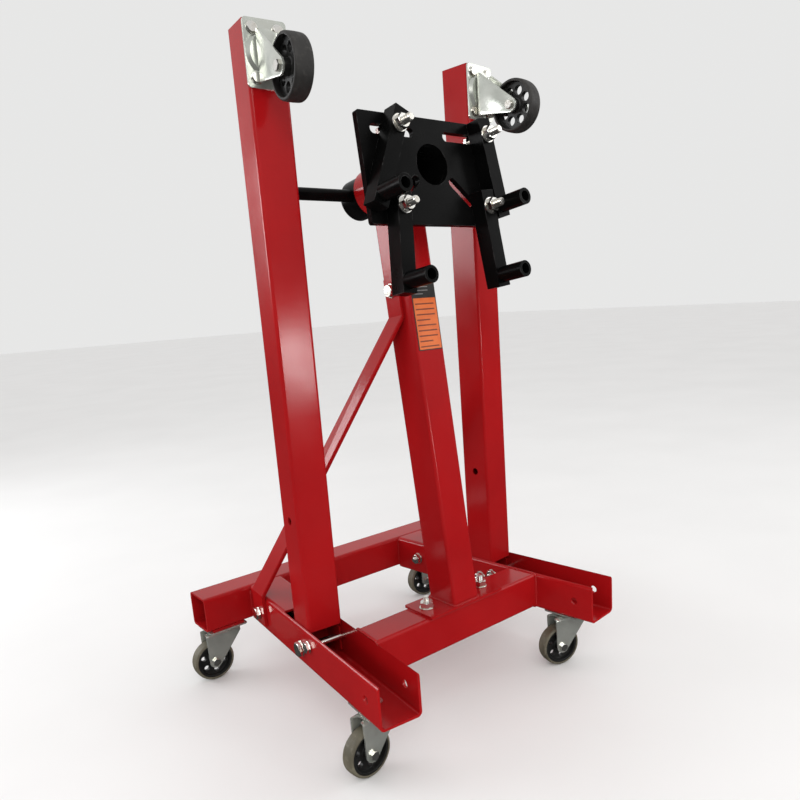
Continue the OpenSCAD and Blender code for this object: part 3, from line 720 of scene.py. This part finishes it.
def fork_rows(crown_r, top, side_y, trail, drop, cheek):
    """One half of a pressed fork: rows of (x low, x high, y, z) from the crown's middle to the tip."""
    bend, tip = FORK_BEND, FORK_TIP
    rows = []
    flat = side_y - bend
    cheek_low, cheek_high = cheek
    for k in range(CROWN_ROWS):
        part = k / (CROWN_ROWS - 1)
        y = flat * sin(pi / 2 * part)
        blend = part ** 2
        half = (crown_r ** 2 - y ** 2) ** 0.5
        rows.append((-half + (cheek_low + half) * blend, half + (cheek_high - half) * blend, y, top))
    for k in range(1, BEND_ROWS + 1):
        turn = pi / 2 * k / BEND_ROWS
        rows.append((cheek_low, cheek_high, flat + bend * sin(turn), top - bend * (1 - cos(turn))))
    start = top - bend - 3 * MM
    rows.append((cheek_low, cheek_high, side_y, start))
    back = radians(30)
    front = radians(8)
    knee_low = (trail - tip * cos(back), drop - tip * sin(back))
    knee_high = (trail + tip * cos(front), drop + tip * sin(front))
    for k in range(1, CHEEK_ROWS + 1):
        part = k / CHEEK_ROWS
        z = start + (knee_low[1] - start) * part
        low = cheek_low + (knee_low[0] - cheek_low) * part
        if z > knee_high[1]:
            high = cheek_high + (knee_high[0] - cheek_high) * (start - z) / (start - knee_high[1])
        else:
            high = trail + (tip ** 2 - (z - drop) ** 2) ** 0.5
        rows.append((low, high, side_y, z))
    for k in range(1, TIP_ROWS + 1):
        turn = back + (radians(86) - back) * k / TIP_ROWS
        rows.append((trail - tip * cos(turn), trail + tip * cos(turn), side_y, drop - tip * sin(turn)))
    return rows


def add_forks():
    """Forks pressed from one sheet: round crown, bent cheeks with a raised rib, and rounded tips."""
    columns = 13
    rib = 1.2 * MM
    rib_from, rib_rows = 17, 9
    for name in CASTERS:
        matrix, axle = caster_frame(name)
        low, high = local_box("fork_" + name, matrix)
        side_y = local_box("tyre_" + name, matrix)[1][1] + FORK_GAP + FORK_SHEET / 2
        rows = fork_rows(high[1] - FORK_SHEET / 2, high[2] - FORK_SHEET / 2, side_y, axle[0], axle[2],
                         (low[0] + CROWN_OVERHANG, CHEEK_BACK))
        shape = Shape()
        for side in (1, -1):
            first = len(shape.verts)
            for i, (x0, x1, y, z) in enumerate(rows):
                along = (i - rib_from) / rib_rows
                for j in range(columns):
                    part = j / (columns - 1)
                    raised = rib * sin(pi * part) ** 2 * sin(pi * along) if 0 < along < 1 else 0.0
                    shape.verts.append(Vector((x0 + (x1 - x0) * part, side * (y + raised), z)))
            for i in range(len(rows) - 1):
                for j in range(columns - 1):
                    a = first + i * columns + j
                    shape.faces.append((a, a + 1, a + columns + 1, a + columns))
        piece = add_piece("pressed_fork_" + name, shape.verts, shape.faces, matrix, "caster_zinc",
                          "fork_" + name, ["fork_" + name], 60)
        weld = piece.modifiers.new("join", "WELD")
        weld.merge_threshold = 0.02 * MM
        thick = piece.modifiers.new("sheet", "SOLIDIFY")
        thick.thickness = FORK_SHEET
        thick.offset = 0
        soften = piece.modifiers.new("edges", "BEVEL")
        soften.width = 0.5 * MM
        soften.segments = 2
        soften.limit_method = "ANGLE"
        soften.angle_limit = radians(50)


# ---------------------------------------------------------------- weld beads
def weld_bead(name, path, normals, matrix, body, closed=True, radius=2.6 * MM):
    """Rippled bead of overlapping puddles along a path of points."""
    pitch = 1.9 * MM
    per_puddle = 5
    sides = 10
    points = [Vector(p) for p in path]
    lines = [Vector(n).normalized() for n in normals]
    if closed:
        points.append(points[0])
        lines.append(lines[0])
    lengths = [0.0]
    for a, b in zip(points, points[1:]):
        lengths.append(lengths[-1] + (b - a).length)
    total = lengths[-1]
    puddles = max(6, int(total / pitch))
    steps = puddles * per_puddle
    rows = []
    at = 0
    for s in range(steps if closed else steps + 1):
        run = total * s / steps
        while at < len(points) - 2 and lengths[at + 1] < run:
            at += 1
        part = (run - lengths[at]) / max(lengths[at + 1] - lengths[at], 1e-9)
        centre = points[at].lerp(points[at + 1], part)
        out = lines[at].lerp(lines[at + 1], part).normalized()
        ahead = (points[at + 1] - points[at]).normalized()
        across = ahead.cross(out).normalized()
        ripple = s % per_puddle / per_puddle
        grow = radius * (0.84 + 0.20 * ripple ** 0.6)
        if not closed:
            end = min(run, total - run) / (2.5 * radius)
            grow *= min(1, max(0.15, end)) ** 0.5
        turns = [2 * pi * k / sides for k in range(sides)]
        rows.append([centre + (out * cos(turn) + across * sin(turn)) * grow for turn in turns])
    shape = Shape()
    if closed:
        shape.loop(rows)
    else:
        shape.grid(rows)
    add_piece(name, shape.verts, shape.faces, matrix, "red_paint", body, (), 80)


def rounded_outline(w, d, corner, spacing=4 * MM):
    """Points round a rectangle with round corners, with outward directions, in x and y."""
    coarse = []
    for sx, sy, start in ((1, 1, 0), (-1, 1, 90), (-1, -1, 180), (1, -1, 270)):
        for k in range(7):
            out = Vector((cos(radians(start + 15 * k)), sin(radians(start + 15 * k))))
            coarse.append((Vector((sx * (w / 2 - corner), sy * (d / 2 - corner))) + corner * out, out))
    points = []
    for (a, out_a), (b, out_b) in zip(coarse, coarse[1:] + coarse[:1]):
        count = max(1, int((b - a).length / spacing))
        points += [(a.lerp(b, k / count), out_a.lerp(out_b, k / count)) for k in range(count)]
    return points


MAST_CORNER = 5 * MM
CROSS_CORNER = 6 * MM


def add_welds():
    """Beads at the sleeve's saddle, the mast's foot, the pin guide and the ends of cross tube and rails."""
    sleeve = local_box("head_sleeve", HEAD)
    sleeve_radius = sleeve[1][0]
    post = mast_section()
    path, outs = [], []
    for point, out in rounded_outline(post[0], post[1], MAST_CORNER):
        path.append((point.x, point.y, -(sleeve_radius ** 2 - point.x ** 2) ** 0.5))
        outs.append((out.x, out.y, -0.9))
    weld_bead("weld_sleeve", path, outs, HEAD, "frame")

    path, outs = [], []
    for point, out in rounded_outline(post[0], post[1] / cos(LEAN), MAST_CORNER):
        path.append((point.x + MAST_X, point.y + MAST_Y, FOOT_TOP))
        outs.append((out.x, out.y, 0.8))
    weld_bead("weld_mast_foot", path, outs, Matrix.Identity(4), "frame", radius=3 * MM)

    guide = local_box("pin_guide", HEAD)
    middle = (guide[0] + guide[1]) / 2
    guide_radius = (guide[1][0] - guide[0][0]) / 2
    path, outs = [], []
    for k in range(40):
        turn = 2 * pi * k / 40
        x = guide_radius * cos(turn)
        path.append((x, middle.y + guide_radius * sin(turn), (sleeve_radius ** 2 - x ** 2) ** 0.5))
        outs.append((cos(turn), sin(turn), 0.8))
    weld_bead("weld_pin_guide", path, outs, HEAD, "frame", radius=2 * MM)

    for side, name in SIDES:
        rail_place = side_frame(side)
        rail = local_box("rail_" + name, rail_place)
        wall = rail[1][0] if side < 0 else rail[0][0]
        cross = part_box("cross_tube")
        middle = Vector((0, (cross[0].y + cross[1].y) / 2, (cross[0].z + cross[1].z) / 2))
        path, outs = [], []
        for point, out in rounded_outline(cross[1].y - cross[0].y, cross[1].z - cross[0].z, CROSS_CORNER):
            y = middle.y + point.x
            x = side * (LEG_X - abs(wall) / cos(SPLAY) - y * tan(SPLAY))
            path.append((x, y, middle.z + point.y))
            outs.append((-0.7 * side, out.x, out.y))
        weld_bead("weld_cross_" + name, path, outs, Matrix.Identity(4), "frame")
        add_rail_end_welds(name, rail_place, rail)


def add_rail_end_welds(name, place, rail):
    """Upright beads where the sides of a rail meet the rear tube."""
    below, above = 11 * MM, 9 * MM      # left free of the bead at the tube's round corners
    steps = 12
    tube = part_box("rear_tube")
    for edge, wall in (("outer", rail[1][0]), ("inner", rail[0][0])):
        local_y = (tube[0].y - (place @ Vector((wall, 0, 0))).y) / cos(SPLAY)
        points, outs = [], []
        for k in range(steps):
            z = tube[0].z + below + (tube[1].z - tube[0].z - below - above) * k / (steps - 1)
            points.append((wall, local_y, z))
            outs.append((0.7 if wall > 0 else -0.7, -0.7, 0))
        weld_bead(f"weld_rail_{name}_{edge}", points, outs, place, "frame", closed=False)


# ---------------------------------------------------------------- plastic and label pieces
def add_handle_caps():
    """Moulded grips on the turning bar's ends, ribbed and domed."""
    length = 26 * MM
    ribs, per_rib = 5, 8
    ribs_from, ribs_length, rib_depth = 2.5 * MM, 15 * MM, 0.5 * MM
    dome = 5 * MM
    centre_r = 0.2 * MM       # of the tiny faces that close the ends
    low, high = local_box("handle_caps", HEAD)
    radius = (high[1] - low[1]) / 2
    centre = (high + low) / 2
    profile = [(centre_r, -length), (radius - 1.4 * MM, -length), (radius - 0.4 * MM, -length + 1 * MM)]
    for k in range(ribs * per_rib):
        height = -length + ribs_from + ribs_length * k / (ribs * per_rib)
        profile.append((radius - rib_depth * (1 - cos(2 * pi * k / per_rib)) / 2, height))
    for k in range(9):
        turn = radians(90 * k / 8)
        profile.append((max(centre_r, radius - dome + dome * cos(turn)), -dome + dome * sin(turn)))
    profile.append((centre_r, 0.0))
    shape = Shape()
    for end, way in ((low[0], -1), (high[0], 1)):
        place = Matrix.Translation((end, centre.y, centre.z)) @ Matrix.Rotation(radians(90 * way), 4, "Y")
        shape.lathe(profile, 48, place)
    add_piece("handle_grips", shape.verts, shape.faces, HEAD, "black_plastic", "handle", ["handle_caps"], 30)


# Height, radius and depth of knurling of the index pin's knob, as shares
KNOB_LEVELS = [(0.0, 0.90, 0), (0.08, 0.97, 0.3), (0.14, 0.99, 1), (0.66, 0.99, 1), (0.74, 0.96, 0.3),
               (0.84, 0.86, 0), (0.93, 0.65, 0), (0.98, 0.35, 0), (1.0, 0.03, 0)]


def add_index_pin():
    """Spring-loaded pin with a knurled, domed knob."""
    low, high = local_box("index_pin", HEAD)
    centre = (low + high) / 2
    place = HEAD @ Matrix.Translation((centre.x, centre.y, 0))
    knob_radius = (high[0] - low[0]) / 2
    knob_t = 10 * MM
    pin_radius = 6 * MM
    knurl_depth = 0.045       # as a share of the knob's radius, like the levels
    steps = 96
    shape = Shape()
    shape.lathe([(pin_radius - 1 * MM, low[2]), (pin_radius, low[2] + 1.5 * MM),
                 (pin_radius, high[2] - knob_t)], 40)
    rows = []
    for height, share, knurl in KNOB_LEVELS:
        row = []
        for k in range(steps):
            turn = 2 * pi * k / steps
            r = knob_radius * (share - knurl_depth * knurl * (k % 4 in (0, 1)))
            row.append(Vector((r * cos(turn), r * sin(turn), high[2] - knob_t + knob_t * height)))
        rows.append(row)
    shape.grid(rows)
    add_piece("index_knob", shape.verts, shape.faces, place, "bright_zinc", "index_pin", ["index_pin"], 35)


def add_axles():
    """Axle bolts: chamfered head, lock nut with its collar, and the thread's end."""
    radius, pitch, across = 4 * MM, 1.25 * MM, 13 * MM
    head_t, nut_t = 5 * MM, 6 * MM
    flange_r, flange_t = 7.2 * MM, 0.8 * MM
    for name in CASTERS:
        matrix, axle = caster_frame(name)
        place = matrix @ Matrix.Translation(axle) @ Matrix.Rotation(radians(90), 4, "X")
        node = "axle_" + name
        low, high = local_box(node, place)
        outside = -low[2] - head_t          # half the fork's width
        nut_top = outside + nut_t
        shape = Shape()
        add_hex(shape, across, low[2], low[2] + head_t, Matrix.Identity(4), chamfer_high=False)
        shape.lathe([(radius, -outside - 1 * MM), (radius, outside)], 32)
        shape.ring(washer_profile(radius, flange_r, outside, outside + flange_t, 0.2 * MM), 40)
        add_hex(shape, across, outside + flange_t, nut_top - 1.6 * MM, Matrix.Rotation(0.5, 4, "Z"))
        shape.ring([(radius, nut_top - 2 * MM), (5.6 * MM, nut_top - 2 * MM), (5.2 * MM, nut_top - 0.5 * MM),
                    (4.6 * MM, nut_top), (radius, nut_top)], 40)
        add_thread(shape, radius, pitch, nut_top - 2 * MM, high[2], Matrix.Identity(4))
        add_piece("axle_bolt_" + name, shape.verts, shape.faces, place, "bright_zinc", BODY_OF[node],
                  [node], 25)


def add_plate_shape(shape, x0, x1, z0, z1, y_back, y_front, corner):
    """Flat panel with round corners, standing in x and z, its face at y_front."""
    outline = []
    for sx, sz, start in ((1, 1, 0), (-1, 1, 90), (-1, -1, 180), (1, -1, 270)):
        mid_x = (x1 - corner) if sx > 0 else (x0 + corner)
        mid_z = (z1 - corner) if sz > 0 else (z0 + corner)
        for k in range(5):
            turn = radians(start + 22.5 * k)
            outline.append((mid_x + corner * cos(turn), mid_z + corner * sin(turn)))
    shape.grid([[Vector((x, y, z)) for x, z in outline] for y in (y_back, y_front)])


def add_label():
    """Plain printed panel with a dark border, pale rules and dark bars: no lettering and no symbols."""
    low, high = local_box(LABEL_NODE, HEAD)
    wide = high[0] - low[0]
    tall = high[2] - low[2]
    back, film = high[1], low[1]
    step = 0.12 * MM
    border = 1.6 * MM
    split = low[2] + 0.66 * tall
    backing = Shape()
    add_plate_shape(backing, low[0], high[0], low[2], high[2], back, film, 2 * MM)
    add_piece("label_backing", backing.verts, backing.faces, HEAD, "label", "frame", [LABEL_NODE])
    lower = Shape()
    add_plate_shape(lower, low[0] + border, high[0] - border, low[2] + border, split, film, film - step,
                    1 * MM)
    tint(add_piece("label_lower", lower.verts, lower.faces, HEAD, "label", "frame"), LABEL_ORANGE)
    rules = Shape()
    for k in range(6):
        z = split + (0.14 + 0.13 * k) * (high[2] - split)
        reach = wide * (0.62 if k % 3 else 0.40)
        x0 = low[0] + 4 * MM
        add_plate_shape(rules, x0, x0 + reach, z, z + 1.3 * MM, film, film - step, 0.4 * MM)
    tint(add_piece("label_rules", rules.verts, rules.faces, HEAD, "label", "frame"), LABEL_GREY)
    bars = Shape()
    for k in range(9):
        z = low[2] + 5 * MM + k * (split - low[2] - 12 * MM) / 8.4
        reach = wide * (0.78 if k % 4 != 1 else 0.55)
        add_plate_shape(bars, low[0] + 4.5 * MM, low[0] + 4.5 * MM + reach, z, z + 2.2 * MM, film - step,
                        film - 2 * step, 0.5 * MM)
    tint(add_piece("label_bars", bars.verts, bars.faces, HEAD, "label", "frame"), LABEL_BROWN)


# ---------------------------------------------------------------- carried-over CAD nodes
BEVEL = {"red_paint": 0.8, "black_paint": 0.6, "bright_zinc": 0.35, "caster_zinc": 0.35, "wheel_black": 0.5,
         "tread_tan": 0.0, "tread_black": 0.0, "black_plastic": 1.0, "label": 0.0}


def finish_node(name, slot):
    """Gives a CAD node its material and softens its edges."""
    piece = NODES[name]
    piece.data.materials.clear()
    piece.data.materials.append(MATERIALS[slot])
    width = BEVEL[slot]
    if width:
        piece.modifiers.new("joined", "WELD").merge_threshold = 0.01 * MM
        flat = piece.modifiers.new("flat", "DECIMATE")
        flat.decimate_type = "DISSOLVE"
        flat.angle_limit = radians(0.5)
        bevel = piece.modifiers.new("edges", "BEVEL")
        bevel.width = width * MM
        bevel.segments = 2
        bevel.limit_method = "ANGLE"
        bevel.angle_limit = radians(40)
        piece.modifiers.new("shading", "WEIGHTED_NORMAL").keep_sharp = True


def finish_nodes():
    for part in RECORD["subparts"]:
        finish_node(part["node"], part["material_slot"])


add_camera()
add_studio()
finish_nodes()
add_studs()
add_base_bolts()
add_mast_bolts()
add_leg_screws()
add_tyres()
add_forks()
add_axles()
add_welds()
add_handle_caps()
add_index_pin()
add_label()
